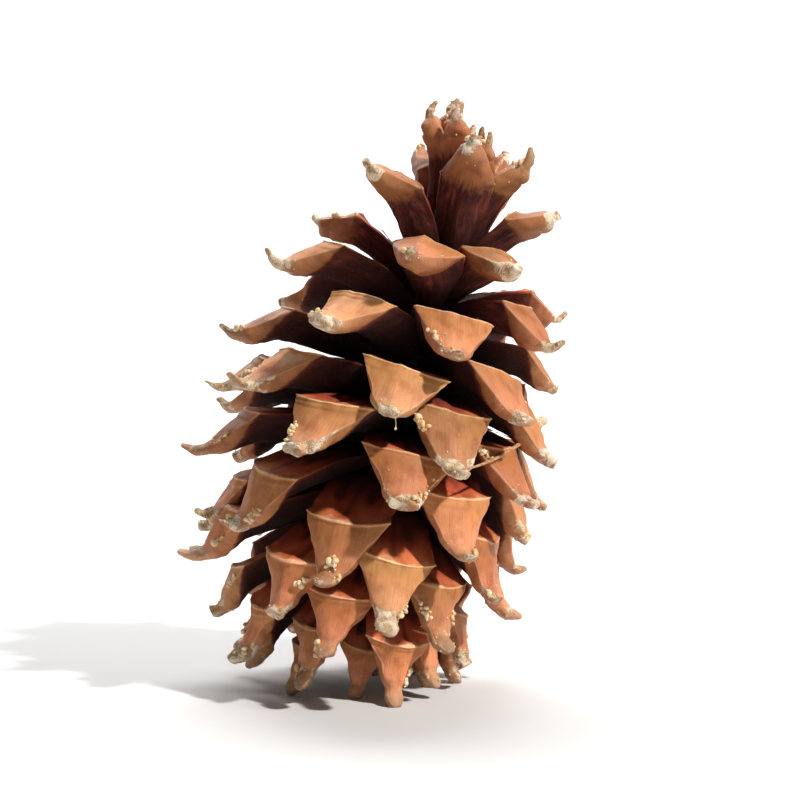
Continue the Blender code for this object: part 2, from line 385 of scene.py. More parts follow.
def spline(knots, values, at):
    """A smooth curve through the values at the knots."""
    slopes = np.gradient(values, knots, axis=0)
    k = np.clip(np.searchsorted(knots, at, side="right") - 1, 0, len(knots) - 2)
    step = knots[k + 1] - knots[k]
    shape = (len(at),) + (1,) * (values.ndim - 1)
    t = ((at - knots[k]) / step).reshape(shape)
    step = step.reshape(shape)
    a = (2 * t**3 - 3 * t**2 + 1) * values[k]
    b = (t**3 - 2 * t**2 + t) * step * slopes[k]
    c = (3 * t**2 - 2 * t**3) * values[k + 1]
    d = (t**3 - t**2) * step * slopes[k + 1]
    return a + b + c + d


def lattice(x, y, z):
    """A fixed random number between -1 and 1 for each whole-numbered place."""
    mix = x * 73856093 ^ y * 19349663 ^ z * 83492791
    mix = (mix ^ mix >> 13) * 1274126177
    mix = mix ^ mix >> 16
    return (mix & 65535) / 32767.5 - 1.0


def noise(points, size, seed=0):
    """Smooth noise between -1 and 1 with features of a size."""
    spots = points / size + seed * 17.13
    whole = np.floor(spots).astype(np.int64)
    part = spots - whole
    part = part * part * (3.0 - 2.0 * part)
    total = 0.0
    for corner in itertools.product((0, 1), repeat=3):
        shares = np.where(corner, part, 1.0 - part)
        total = total + shares.prod(axis=-1) * lattice(*np.moveaxis(whole + corner, -1, 0))
    return total


def pebbles(points, size, seed=0):
    """Heights from 0 to 1 of round lumps packed at random, each about as wide as the size."""
    spots = points / size + seed * 17.13
    whole = np.floor(spots).astype(np.int64)
    nearest = np.full(points.shape[:-1], 9.0)
    for step in itertools.product((-1, 0, 1), repeat=3):
        cell = whole + step
        x, y, z = np.moveaxis(cell, -1, 0)
        wander = np.stack([lattice(x, y, z), lattice(y, z, x + 7), lattice(z, x, y + 13)], -1)
        nearest = np.minimum(nearest, np.linalg.norm(spots - cell - 0.5 - 0.4 * wander, axis=-1))
    return np.sqrt(np.clip(1.0 - nearest**2, 0.0, 1.0))


def smooth(low, high, value):
    """Rise from 0 to 1 between two values."""
    t = np.clip((value - low) / (high - low), 0.0, 1.0)
    return t * t * (3.0 - 2.0 * t)


def window(value, rise, fall):
    """Rise from 0 to 1 over one range and fall back over another."""
    return smooth(*rise, value) * (1.0 - smooth(*fall, value))


def hump(value, width):
    """A round hump of height 1 about zero."""
    return np.exp(-((value / width) ** 2))


def station_places():
    """How far along a scale each fine station lies, counted in coarse rings, closest near the ridge."""
    places = []
    for segment, steps in enumerate(SEGMENT_STEPS):
        for k in range(steps):
            t = k / steps
            if segment == RIDGE - 1:
                t = 1.0 - (1.0 - t) ** 1.7
            if segment == RIDGE:
                t = t**1.7
            places.append(segment + t)
    places.append(float(len(SEGMENT_STEPS)))
    return np.array(places)


def crowded(count):
    """Places from -1 to 1, closer together at both ends."""
    t = np.linspace(-1.0, 1.0, count)
    return np.sin(t * math.pi / 2.0) * 0.6 + t * 0.4


def fine_tracks(rings, places):
    """The six points of each ring, followed smoothly along the scale, with a crease at the ridge."""
    centers = rings.mean(axis=1)
    steps = np.linalg.norm(np.diff(centers, axis=0), axis=1)
    knots = np.concatenate([[0.0], np.cumsum(steps)])
    at = np.interp(places, np.arange(len(knots)), knots)
    tracks = np.empty((len(places), 6, 3))
    before = places < RIDGE
    tracks[before, :3] = spline(knots[: RIDGE + 1], rings[: RIDGE + 1, :3], at[before])
    tracks[~before, :3] = spline(knots[RIDGE:], rings[RIDGE:, :3], at[~before])
    tracks[:, 3:] = spline(knots, rings[:, 3:], at)
    return tracks, at


def cross_section(tracks, places, habit):
    """Closed rows of points: the upper side from left to right, then the under side back."""
    over = crowded(TOP_COLUMNS)
    under = crowded(UNDER_COLUMNS)[1:-1]
    left, top, right = tracks[:, 0], tracks[:, 1], tracks[:, 2]
    u = over[None, :, None]
    half = ((right - left) / 2.0)[:, None]
    sag = ((right + left) / 2.0 - top)[:, None]
    upper = top[:, None] + u * half + u * u * sag
    corners = np.stack([right, tracks[:, 3], tracks[:, 4], tracks[:, 5], left], axis=0)
    marks = np.linspace(-1.0, 1.0, len(corners))
    lower = np.moveaxis(spline(marks, corners, under), 0, 1)
    sharp = np.concatenate([upper, lower], axis=1)

    tuft, finger = habit["tuft"], habit["finger"]
    middle = tracks.mean(axis=1)
    thinner = CLAW_SLIM + TUFT_CLAW_SLIM * tuft
    slim = (1.0 - thinner * smooth(CLAW - 0.6, CLAW + 0.5, places))[:, None]
    blunt = (1.0 + FINGER_BLUNT * finger * smooth(CLAW + 0.4, CLAW + 2.0, places))[:, None]
    wide = (right - left) / 2.0 / OVAL_SIDE * slim * blunt
    tall = (top - tracks[:, 4]) / 2.0 * slim * blunt * (1.0 + FINGER_THICK * finger)
    turn = np.concatenate([np.radians(90.0 - 60.0 * over), np.radians(-90.0 - 120.0 * under)])
    oval = (
        middle[:, None]
        + np.cos(turn)[None, :, None] * wide[:, None]
        + np.sin(turn)[None, :, None] * tall[:, None]
    )
    blend = smooth(RIDGE + 1.0, CLAW + 0.4, places)[:, None, None]
    rows = sharp * (1.0 - blend) + oval * blend
    waist = 1.0 - habit["pinch"] * hump(places - RIDGE - WAIST_AT, 0.5)
    rows[..., 0] = rows[..., 0] * (waist * (1.0 - TUFT_SLIM * tuft))[:, None]
    across = np.concatenate([over, -under])
    below = np.concatenate([np.zeros(TOP_COLUMNS), np.ones(UNDER_COLUMNS - 2)])
    return rows, across, below


def row_normals(rows):
    """Outward directions at the points of a closed tube of rows."""
    along = np.gradient(rows, axis=0)
    around = np.roll(rows, -1, axis=1) - np.roll(rows, 1, axis=1)
    normals = np.cross(along, around)
    length = np.linalg.norm(normals, axis=2, keepdims=True)
    normals = normals / np.maximum(length, 1e-9)
    middle = rows.mean(axis=1, keepdims=True)
    outward = np.sign(np.sum(normals * (rows - middle), axis=(1, 2)))
    flip = 1.0 if outward.sum() >= 0.0 else -1.0
    return normals * flip


def scale_habit(index, draw):
    """What a scale has of its own: a broken tip, waist, keel, step, fold, crust and tint."""
    tuft = smooth(*TUFT_SCALES, index)
    finger = 1.0 - smooth(*FINGER_SCALES, index)
    chance = BRITTLE_CHANCE if index in BRITTLE_SCALES else BREAK_CHANCE
    broken = index > LAST_FOOT and draw.random() < chance
    habit = {
        "tuft": tuft,
        "finger": finger,
        "broken": broken,
        "reach": draw.uniform(0.35, 0.75) if broken else 1.0,
        "pinch": WAIST + FINGER_WAIST * finger + draw.uniform(-0.05, 0.06),
        "keel_at": draw.uniform(-0.25, 0.25),
        "keel": draw.choice(KEEL_HEIGHTS),
        "step_at": RIDGE + draw.uniform(0.25, 0.6),
        "step": draw.choice(STEP_DEPTHS),
    }
    habit["fold_at"] = habit["keel_at"] + draw.uniform(-0.1, 0.1)
    habit["crusted"] = draw.uniform(0.45, 1.0) * (0.6 + 0.4 * smooth(*CRUST_SCALES, index))
    habit["mood"] = [draw.random() * (1.0 - 0.65 * tuft), draw.random(), draw.random()]
    return habit


def skin_places(t, u, upper, tuft):
    """How far past the start of the pale skin each point lies: the ridge above, a curved line below."""
    edge = RIDGE + (CLAW - 0.35 - RIDGE) * (1.0 - tuft) - 0.25 * tuft
    edge = RIDGE + 0.02 + (edge - RIDGE) * (1.0 - np.abs(u)) ** 0.6
    return np.where(upper > 0.5, t - RIDGE, t - edge)


def relief(t, u, upper, grid, habit):
    """How far each point stands out, how much of a mark it lies in, and how far into the pale skin."""
    tuft, keel, keel_at = habit["tuft"], habit["keel"], habit["keel_at"]
    under = 1.0 - upper
    gable = window(t, (RIDGE - 0.3, RIDGE + 0.05), (CLAW - 0.6, CLAW)) * upper
    lift = keel * np.exp(-np.abs(u - keel_at) / 0.24) * gable
    back = window(t, (RIDGE - 0.7, RIDGE + 0.2), (CLAW - 0.3, CLAW + 0.3)) * under
    lift = lift + BACK_KEEL * tuft * keel * np.exp(-np.abs(u + keel_at) / 0.2) * back
    spine = window(t, (0.4, 1.2), (CLAW - 1.4, CLAW - 0.4)) * under
    lift = lift + SPINE_HEIGHT * tuft * spine * (1.0 - np.minimum(np.abs(u + keel_at) / 0.8, 1.0))
    skin = skin_places(t, u, upper, tuft)
    torn = skin + 0.05 * noise(grid, 2.0, 17)
    lift = lift + SKIN_STEP * tuft * smooth(-0.04, 0.04, torn) * spine

    lift = lift + RIM_HEIGHT * hump(t - RIDGE - 0.03, 0.05) * upper
    face = window(t, (RIDGE - 0.02, RIDGE + 0.1), (CLAW - 0.6, CLAW)) * upper
    step_at = habit["step_at"]
    lift = lift - habit["step"] * smooth(step_at - 0.06, step_at + 0.06, t) * face
    from_fold = u - habit["fold_at"]
    fold = hump(from_fold, 0.05) * window(t, (0.9, 1.3), (RIDGE - 0.1, RIDGE)) * upper
    seeds = hump(np.abs(from_fold) - SEED_ASIDE, 0.20) * hump(t - SEED_AT, 0.32)
    seeds = smooth(0.35, 0.75, seeds + 0.25 * noise(grid, 3.0, 16)) * upper
    lift = lift - FOLD_DEPTH * fold - SEED_DEPTH * seeds
    lift = lift + 0.55 * noise(grid, 9.0) + 0.28 * noise(grid, 3.2, 1) + 0.07 * noise(grid, 1.0, 2)
    return lift, np.maximum(seeds, fold), skin


def crusting(t, u, grid, habit):
    """How far the crust stands out at each point, where it is, and its lumps."""
    edges = smooth(0.8, 1.0, np.abs(u)) * smooth(RIDGE + 0.2, RIDGE + 1.0, t)
    rough = smooth(CLAW - 0.9, CLAW + 0.5, t) + 0.4 * edges
    patch = 0.6 + 0.45 * noise(grid, 3.4, 3) + 0.25 * noise(grid, 1.3, 4)
    crust = smooth(0.30, 0.62, rough * habit["crusted"] * 1.35 * patch)
    bent = grid + 0.6 * np.stack([noise(grid, 1.7, seed) for seed in (12, 13, 14)], -1)
    lumps = pebbles(bent, 1.6, 5) * smooth(-0.6, 0.5, noise(grid, 2.1, 15)) + 0.3 * noise(grid, 0.9, 6)
    lift = crust * (CRUST_HEIGHT * lumps - 0.05) + rough * 0.16 * noise(grid, 1.0, 7)
    return lift, crust, lumps


def scale_ends(grid, habit):
    """The rows that round off the tip of a claw, then the middle points of the root and of the tip."""
    middle = grid.mean(axis=1)
    ahead = middle[-1] - middle[-3]
    ahead = ahead / np.linalg.norm(ahead)
    longer = 1.0 + habit["finger"]
    ends = []
    for size, forward in BROKEN_CAPS if habit["broken"] else WHOLE_CAPS:
        ends.append(middle[-1] + (grid[-1] - middle[-1]) * size + ahead * forward * longer)
    tip = BROKEN_TIP if habit["broken"] else WHOLE_TIP * longer
    ends.append(middle[:1])
    ends.append(middle[-1:] + ahead * tip)
    return np.concatenate(ends)


def tube_faces(count, width):
    """The quads of a tube of rows, and the triangles to its two end points, which follow the rows."""
    k = np.arange(count - 1)[:, None] * width
    c = np.arange(width)[None, :]
    n = (c + 1) % width
    quads = np.stack([k + c, k + n, k + width + n, k + width + c], -1).reshape(-1, 4)
    last = (count - 1) * width
    root = np.full(width, count * width)
    root_fan = np.stack([n[0], c[0], root], -1)
    tip_fan = np.stack([last + c[0], last + n[0], root + 1], -1)
    return quads, np.concatenate([root_fan, tip_fan])


def fine_scale(plan, draw):
    """One scale as a fine mesh with what its material needs at each point."""
    index = plan["index"]
    habit = scale_habit(index, draw)
    places = station_places()
    if habit["broken"]:
        places = np.where(places > CLAW, CLAW + (places - CLAW) * habit["reach"], places)
    tracks, distance = fine_tracks(plan["rings"], places)
    rows, across, below = cross_section(tracks, places, habit)
    plain = put_in_place(plan, rows)
    normals = row_normals(plain)

    t = places[:, None]
    u = across[None, :]
    below = below[None, :]
    lift, mark, skin = relief(t, u, 1.0 - below, plain, habit)
    crust_lift, crust, lumps = crusting(t, u, plain, habit)
    grid = plain + normals * ((lift + crust_lift) * smooth(0.0, 0.5, t))[..., None]
    vertices = np.concatenate([grid.reshape(-1, 3), scale_ends(grid, habit)])
    quads, fans = tube_faces(len(grid) + len(WHOLE_CAPS), grid.shape[1])

    def spread(values, root_value=0.0, tip_value=0.0):
        """The values of the grid, of the rows that cap it and of its two end points."""
        values = np.broadcast_to(values, grid.shape[:2])
        values = np.concatenate([values] + [values[-1:]] * len(WHOLE_CAPS))
        return np.concatenate([values.reshape(-1), [root_value, tip_value]])

    grain = (
        spread(rows[..., 0] + index * SCALES_APART),
        spread(distance[:, None], 0.0, distance[-1]),
        spread(below * SIDES_APART),
    )
    values = {
        "along": spread(t, 0.0, SEGMENTS),
        "across": spread(u),
        "under": spread(below),
        "crust": spread(crust, 0.0, 1.0),
        "lump": spread(lumps, 0.0, 0.5),
        "mark": spread(mark),
        "skin": spread(skin, -2.0, 2.0),
        "tuft": np.full(len(vertices), habit["tuft"]),
        "grain": np.stack(grain, -1),
        "mood": np.tile(habit["mood"], (len(vertices), 1)),
    }
    return {
        "index": index,
        "crowding": max(math.cos(plan["angle"] - CROWD_SIDE), 0.0),
        "grid": grid,
        "normals": normals,
        "vertices": vertices,
        "quads": quads,
        "fans": fans,
        "values": values,
    }


def mesh_piece(name, vertices, faces, material):
    data = bpy.data.meshes.new(name)
    data.from_pydata(vertices.tolist(), [], faces)
    data.shade_smooth()
    data.materials.append(material)
    piece = bpy.data.objects.new(name, data)
    bpy.context.scene.collection.objects.link(piece)
    return piece


def add_values(piece, name, values):
    """Keep a number or a vector for each point of a piece, for its material to read."""
    kind = "FLOAT" if values.ndim == 1 else "FLOAT_VECTOR"
    field = "value" if values.ndim == 1 else "vector"
    layer = piece.data.attributes.new(name, kind, "POINT")
    layer.data.foreach_set(field, values.astype(np.float32).ravel())


def scale_group(name, scales, place, material):
    """Several fine scales as one piece."""
    start = 0
    vertices = []
    faces = []
    for scale in scales:
        vertices.append(place(scale["vertices"]))
        faces += (scale["quads"] + start).tolist()
        faces += (scale["fans"] + start).tolist()
        start += len(scale["vertices"])
    piece = mesh_piece(name, np.concatenate(vertices), faces, material)
    for value in scales[0]["values"]:
        add_values(piece, value, np.concatenate([scale["values"][value] for scale in scales]))
    return piece


def core_piece(place, material):
    """The core, with a rough surface where it shows between the scales."""
    rows = []
    turns = np.linspace(0.0, 2.0 * math.pi, CORE_COLUMNS, endpoint=False)
    circle = np.stack([np.cos(turns), np.sin(turns), np.zeros(CORE_COLUMNS)], -1)
    for height in np.linspace(CORE_PROFILE[0][0], CORE_PROFILE[-1][0], CORE_ROWS):
        frame = np.array(core_frame(height))
        rows.append(curve(CORE_PROFILE, height) * circle @ frame[:3, :3].T + frame[:3, 3])
    rows = np.array(rows)
    outward = rows - rows.mean(axis=1, keepdims=True)
    outward = outward / np.linalg.norm(outward, axis=2, keepdims=True)
    rows = rows + outward * (0.5 * noise(rows, 3.0, 8) + 0.3 * noise(rows, 1.2, 9) - 0.3)[..., None]
    ends = np.stack([rows[0].mean(axis=0), rows[-1].mean(axis=0)])
    vertices = np.concatenate([rows.reshape(-1, 3), ends])
    quads, fans = tube_faces(CORE_ROWS, CORE_COLUMNS)
    return mesh_piece("core", place(vertices), quads.tolist() + fans.tolist(), material)


# How the materials are put together from nodes.

def fill(tree, node, inputs):
    """Link or set the inputs of a node."""
    for name, value in inputs.items():
        socket = node.inputs[name]
        if isinstance(value, bpy.types.NodeSocket):
            tree.links.new(value, socket)
        elif socket.type == "RGBA":
            socket.default_value = (*value, 1.0)
        else:
            socket.default_value = value


def add_node(tree, kind, inputs, **settings):
    node = tree.nodes.new("ShaderNode" + kind)
    for name, value in settings.items():
        setattr(node, name, value)
    fill(tree, node, inputs)
    return node


def value_of(tree, name, output="Fac"):
    return add_node(tree, "Attribute", {}, attribute_name=name).outputs[output]


def maths(tree, operation, a, b=0.0):
    return add_node(tree, "Math", {0: a, 1: b}, operation=operation).outputs[0]


def ranged(tree, value, low, high, to_low=0.0, to_high=1.0):
    inputs = {"Value": value, "From Min": low, "From Max": high, "To Min": to_low, "To Max": to_high}
    return add_node(tree, "MapRange", inputs).outputs["Result"]


def blended(tree, factor, a, b, kind="MIX"):
    inputs = {0: factor, 6: a, 7: b}
    return add_node(tree, "Mix", inputs, data_type="RGBA", blend_type=kind).outputs[2]


def ramp(tree, factor, stops):
    node = add_node(tree, "ValToRGB", {"Fac": factor})
    elements = node.color_ramp.elements
    while len(elements) > 1:
        elements.remove(elements[-1])
    elements[0].position = stops[0][0]
    elements[0].color = stops[0][1] + (1.0,)
    for position, colour in stops[1:]:
        element = elements.new(position)
        element.color = colour + (1.0,)
    return node.outputs["Color"]


def cloud(tree, vector, size, detail=3.0, roughness=0.5):
    inputs = {"Vector": vector, "Scale": size, "Detail": detail, "Roughness": roughness}
    return add_node(tree, "TexNoise", inputs).outputs["Fac"]


def stretched(tree, vector, size):
    return add_node(tree, "VectorMath", {0: vector, 1: size}, operation="MULTIPLY").outputs[0]


def own_place(tree):
    return add_node(tree, "TexCoord", {}).outputs["Object"]


def new_material(name):
    material = bpy.data.materials.new(name)
    material.use_nodes = True
    tree = material.node_tree
    return material, tree, tree.nodes["Principled BSDF"]


def bumped(tree, height, distance, strength):
    """The direction of a surface with a height on it, whose distance is in millimetres."""
    inputs = {"Height": height, "Distance": distance * MM, "Strength": strength}
    return add_node(tree, "Bump", inputs).outputs["Normal"]


# Colours of the scales. Those in a list lie along a ramp, each after its place on it.
# Upper side: the wood's own dark red inward of the ridge, with painted shade where the scales above cover
# it, near black at the root.
UPPER_COLOURS_SHADE_AND_HIGHLIGHT = (
    (0.0, (0.020, 0.005, 0.004)),
    (0.16, (0.060, 0.011, 0.007)),
    (0.22, (0.18, 0.026, 0.013)),
    (0.27, (0.40, 0.070, 0.031)),
    (0.300, (0.55, 0.130, 0.054)),
    (0.326, (0.64, 0.195, 0.082)),
    # Painted highlight: a pale thin line along the ridge crest.
    (0.331, (0.88, 0.58, 0.36)),
    (0.337, (0.86, 0.54, 0.30)),
    (0.345, (0.58, 0.245, 0.090)),
    (0.370, (0.50, 0.215, 0.082)),
    (0.43, (0.52, 0.220, 0.082)),
    (0.54, (0.62, 0.255, 0.112)),
    (0.63, (0.68, 0.295, 0.150)),
    (0.78, (0.56, 0.29, 0.15)),
    (1.0, (0.44, 0.28, 0.17)),
)
FACE_COLOURS = (
    (0.33, (0.36, 0.14, 0.052)),
    (0.48, (0.42, 0.17, 0.068)),
    (0.62, (0.50, 0.22, 0.105)),
    (0.80, (0.50, 0.27, 0.15)),
    (1.0, (0.44, 0.28, 0.17)),
)
# Under side of the blade: its own dark red-brown, with painted shade that turns it near black toward the
# root, deep in the gaps between the scales.
BLADE_COLOURS_AND_SHADE = (
    (0.0, (0.016, 0.005, 0.004)),
    (0.55, (0.045, 0.012, 0.009)),
    (0.80, (0.10, 0.026, 0.018)),
    (0.93, (0.16, 0.050, 0.028)),
    (1.0, (0.26, 0.095, 0.045)),
)
WEATHER_COLOURS = (
    (0.36, (0.030, 0.009, 0.010)),
    (0.52, (0.11, 0.024, 0.020)),
    (0.66, (0.24, 0.065, 0.045)),
)
STREAK_TINTS = ((0.34, (0.62, 0.58, 0.50)), (0.52, (1.0, 1.0, 1.0)), (0.68, (1.18, 1.16, 1.10)))
STAIN_TINTS = ((0.34, (0.74, 0.62, 0.56)), (0.52, (1.0, 1.0, 1.0)), (0.70, (1.10, 1.06, 1.0)))
CRUST_COLOURS = ((0.42, (0.30, 0.17, 0.10)), (0.54, (0.62, 0.48, 0.36)), (0.72, (1.05, 1.02, 0.98)))
SHADE_TINTS = ((0.70, 0.66, 0.62), (1.12, 1.12, 1.12))
HUE_TINTS = ((1.07, 0.93, 0.92), (0.97, 1.05, 1.00))
CRUST_TINTS = ((0.76, 0.68, 0.58), (0.74, 0.64, 0.48))
MARK_COLOUR = (0.045, 0.010, 0.006)
RUBBED_COLOUR = (0.70, 0.40, 0.24)
FLECK_COLOUR = (0.66, 0.48, 0.36)

# Colours of the core and of the resin, along ramps. The core's own dark brown is darkened near black with
# painted shade, where it shows deep between the scales.
CORE_COLOURS_AND_SHADE = ((0.3, (0.012, 0.004, 0.003)), (0.7, (0.05, 0.015, 0.010)))
RESIN_COLOURS = ((0.32, (0.64, 0.36, 0.15)), (0.5, (0.84, 0.59, 0.32)), (0.66, (0.92, 0.78, 0.54)))


def grain_cloud(tree, grain, stretch, detail, roughness=0.5):
    """Noise that is stretched along the grain of a scale."""
    return cloud(tree, stretched(tree, grain, stretch), 1.0, detail, roughness)


def upper_colour(tree, along, grain):
    """The upper side: the dark red blade with its marks and painted shade near black toward the root, the
    pale ridge line as a painted highlight, and the orange-brown face.
    """
    drift = grain_cloud(tree, grain, (0.16, 0.12, 1.0), 2.0)
    shifted = maths(tree, "ADD", along, ranged(tree, drift, 0.3, 0.7, -0.10, 0.10))
    inner = maths(tree, "LESS_THAN", along, RIDGE)
    inner_place = maths(tree, "MINIMUM", shifted, RIDGE - 0.04)
    outer_place = maths(tree, "MAXIMUM", along, RIDGE)
    place = add_node(tree, "Mix", {0: inner, 2: outer_place, 3: inner_place}, data_type="FLOAT")
    colour = ramp(tree, maths(tree, "DIVIDE", place.outputs[0], SEGMENTS), UPPER_COLOURS_SHADE_AND_HIGHLIGHT)
    return blended(tree, maths(tree, "MULTIPLY", value_of(tree, "mark"), 0.7), colour, MARK_COLOUR)


def under_colour(tree, along, ragged, grain):
    """The under side: the dark blade with painted shade near black toward the root, redder and weathered in
    the tuft, and the pale skin beyond it.
    """
    face = ramp(tree, maths(tree, "DIVIDE", along, SEGMENTS), FACE_COLOURS)
    blade = ramp(tree, ranged(tree, ragged, -2.0, 0.1), BLADE_COLOURS_AND_SHADE)
    ruddy = maths(tree, "MULTIPLY", value_of(tree, "tuft"), ranged(tree, ragged, -1.5, -0.4, 0.0, 0.85))
    weather = grain_cloud(tree, grain, (0.55, 0.10, 1.0), 3.0, 0.6)
    blade = blended(tree, ruddy, blade, ramp(tree, weather, WEATHER_COLOURS))
    return blended(tree, ranged(tree, ragged, -0.14, 0.14), blade, face)


def wood_fibres(tree, grain):
    coarse = grain_cloud(tree, grain, (2.6, 0.07, 1.0), 4.0, 0.6)
    fine = grain_cloud(tree, grain, (7.0, 0.25, 1.0), 2.0)
    return maths(tree, "ADD", maths(tree, "MULTIPLY", coarse, 0.7), maths(tree, "MULTIPLY", fine, 0.3))


def tinted(tree, colour, fibres, grain, mood):
    """Streaks along the fibres, stains, and the shade and hue that a scale has of its own."""
    colour = blended(tree, 0.5, colour, ramp(tree, fibres, STREAK_TINTS), "MULTIPLY")
    blotch = grain_cloud(tree, grain, (0.20, 0.14, 1.0), 3.0)
    colour = blended(tree, 0.8, colour, ramp(tree, blotch, STAIN_TINTS), "MULTIPLY")
    for part, tints in ((mood[0], SHADE_TINTS), (mood[1], HUE_TINTS)):
        colour = blended(tree, 1.0, colour, blended(tree, part, *tints), "MULTIPLY")
    return colour


def flecked(tree, colour, along, fleck):
    """The rubbed edges of the face, and pale flecks toward the claw."""
    across = maths(tree, "ABSOLUTE", value_of(tree, "across"))
    rim = maths(tree, "MULTIPLY", ranged(tree, across, 0.94, 1.0), ranged(tree, along, 2.0, 2.3))
    colour = blended(tree, maths(tree, "MULTIPLY", rim, 0.45), colour, RUBBED_COLOUR)
    return blended(tree, maths(tree, "MULTIPLY", fleck, 0.6), colour, FLECK_COLOUR)


def crusted(tree, colour, crust, grain, mood):
    """The granular crust on the claws, with a flaked edge."""
    grit = grain_cloud(tree, grain, (2.4, 2.4, 1.0), 4.0, 0.75)
    raised = maths(tree, "ADD", maths(tree, "MULTIPLY", value_of(tree, "lump"), 0.22), grit)
    crust_colour = ramp(tree, raised, CRUST_COLOURS)
    crust_colour = blended(tree, 1.0, crust_colour, blended(tree, mood[2], *CRUST_TINTS), "MULTIPLY")
    flaked = maths(tree, "ADD", crust, ranged(tree, grit, 0.35, 0.65, -0.35, 0.35))
    return blended(tree, ranged(tree, flaked, 0.30, 0.62), colour, crust_colour)


def scale_material():
    material, tree, shader = new_material("woody_scale")
    along = value_of(tree, "along")
    under = value_of(tree, "under")
    crust = value_of(tree, "crust")
    grain = value_of(tree, "grain", "Vector")
    mood = add_node(tree, "SeparateXYZ", {0: value_of(tree, "mood", "Vector")}).outputs
    tear = grain_cloud(tree, grain, (0.9, 0.25, 1.0), 3.0)
    ragged = maths(tree, "ADD", value_of(tree, "skin"), ranged(tree, tear, 0.3, 0.7, -0.09, 0.09))
    fibres = wood_fibres(tree, grain)
    fleck = grain_cloud(tree, grain, (1.6, 1.6, 1.0), 3.0, 0.7)
    fleck = maths(tree, "MULTIPLY", ranged(tree, fleck, 0.60, 0.70), ranged(tree, along, 2.7, 3.8))

    upper_side = upper_colour(tree, along, grain)
    under_side = under_colour(tree, along, ragged, grain)
    colour = blended(tree, under, upper_side, under_side)
    colour = tinted(tree, colour, fibres, grain, mood)
    colour = flecked(tree, colour, along, fleck)
    colour = crusted(tree, colour, crust, grain, mood)

    upper_rough = ranged(tree, along, 1.4, 2.0, 0.90, 0.50)
    under_rough = ranged(tree, ragged, -0.2, 0.1, 0.92, 0.52)
    rough = blended(tree, under, upper_rough, under_rough)
    rough = maths(tree, "ADD", rough, maths(tree, "MULTIPLY", crust, 0.2))
    pores = grain_cloud(tree, grain, (3.0, 3.0, 1.0), 4.0)
    height = maths(tree, "ADD", maths(tree, "MULTIPLY", fibres, 0.8), maths(tree, "MULTIPLY", fleck, 0.4))
    height = maths(tree, "ADD", height, maths(tree, "MULTIPLY", pores, 0.5))
    normal = bumped(tree, height, 0.35, 0.6)
    looks = {"Base Color": colour, "Roughness": rough, "Normal": normal, "Specular IOR Level": 0.2}
    fill(tree, shader, looks)
    return material


def core_material():
    material, tree, shader = new_material("core_wood_with_painted_shade")
    # Painted shade: the core's dark brown is taken near black.
    colour = ramp(tree, cloud(tree, own_place(tree), 400.0), CORE_COLOURS_AND_SHADE)
    fill(tree, shader, {"Base Color": colour, "Roughness": 0.7})
    return material


def dry_material(name, tint, size):
    """A dry thin skin or stalk, mottled about one tint."""
    material, tree, shader = new_material(name)
    spread = cloud(tree, own_place(tree), size, 4.0)
    light = tuple(1.35 * part for part in tint)
    dark = tuple(0.45 * part for part in tint)
    colour = ramp(tree, spread, ((0.35, dark), (0.65, light)))
    fill(tree, shader, {"Base Color": colour, "Roughness": 0.65, "Normal": bumped(tree, spread, 0.1, 0.5)})
    return material


def resin_material():
    material, tree, shader = new_material("dried_resin")
    place = own_place(tree)
    looks = {
        "Base Color": ramp(tree, cloud(tree, place, 160.0, 2.0), RESIN_COLOURS),
        "Roughness": 0.42,
        "Subsurface Weight": 0.25,
        "Subsurface Radius": (1.0, 0.6, 0.3),
        "Subsurface Scale": 1.2 * MM,
        "Normal": bumped(tree, cloud(tree, place, 1800.0, 4.0), 0.2, 0.5),
    }
    fill(tree, shader, looks)
    return material


# Resin, slivers and the needle, which lie on the scales.

def blob_mesh(level):
    """The points and triangles of a round blob of radius 1."""
    mesh = bmesh.new()
    bmesh.ops.create_icosphere(mesh, subdivisions=level, radius=1.0)
    points = np.array([vert.co[:] for vert in mesh.verts])
    faces = np.array([[vert.index for vert in face.verts] for face in mesh.faces])
    mesh.free()
    return points, faces


def row_at(place):
    """The number of the fine row at a place along a scale."""
    return int(np.searchsorted(station_places(), place))


def off_skin(scale, row, column, lift):
    """A place on a scale, lifted off its surface."""
    return scale["grid"][row, column] + scale["normals"][row, column] * lift


def cluster_spots(scale, row, column, number, draw):
    """Lumps heaped round one place on a scale, as (place, radius)."""
    rows, columns = scale["grid"].shape[:2]
    smallest, largest = LUMP_SIZES
    spots = []
    for _ in range(number):
        r = min(max(row + round(draw.gauss(0.0, 2.4)), FIRST_RESIN_ROW), rows - 2)
        c = (column + round(draw.gauss(0.0, 1.1))) % columns
        size = min(max(draw.lognormvariate(-0.60, 0.38), smallest), largest)
        spots.append((off_skin(scale, r, c, draw.uniform(0.2, 1.4) * size), size))
    return spots


def resin_spots(scales, draw):
    """Where resin has dried: heaped clusters and loose crumbs, as (place, radius)."""
    clusters = []
    crumbs = []
    for scale in scales:
        crowding = scale["crowding"]
        rows, columns = scale["grid"].shape[:2]
        if scale["index"] in RESIN_HEAPS:
            at, column, number = RESIN_HEAPS[scale["index"]]
            clusters += cluster_spots(scale, row_at(at), column, number, draw)
        if draw.random() < 0.5 + 0.4 * crowding:
            row = row_at(draw.uniform(RIDGE + 0.7, CLAW + 1.0))
            column = draw.choice(EDGE_COLUMNS)
            number = draw.randint(4, 11) + round(10.0 * crowding**2)
            clusters += cluster_spots(scale, row, column, number, draw)
        for _ in range(draw.randint(3, 11)):
            row = min(row_at(draw.uniform(CLAW - 1.2, CLAW + 2.0)), rows - 1)
            column = draw.randrange(columns)
            size = draw.uniform(*CRUMB_SIZES)
            crumbs.append((off_skin(scale, row, column, size * 0.5), size))
    return clusters, crumbs


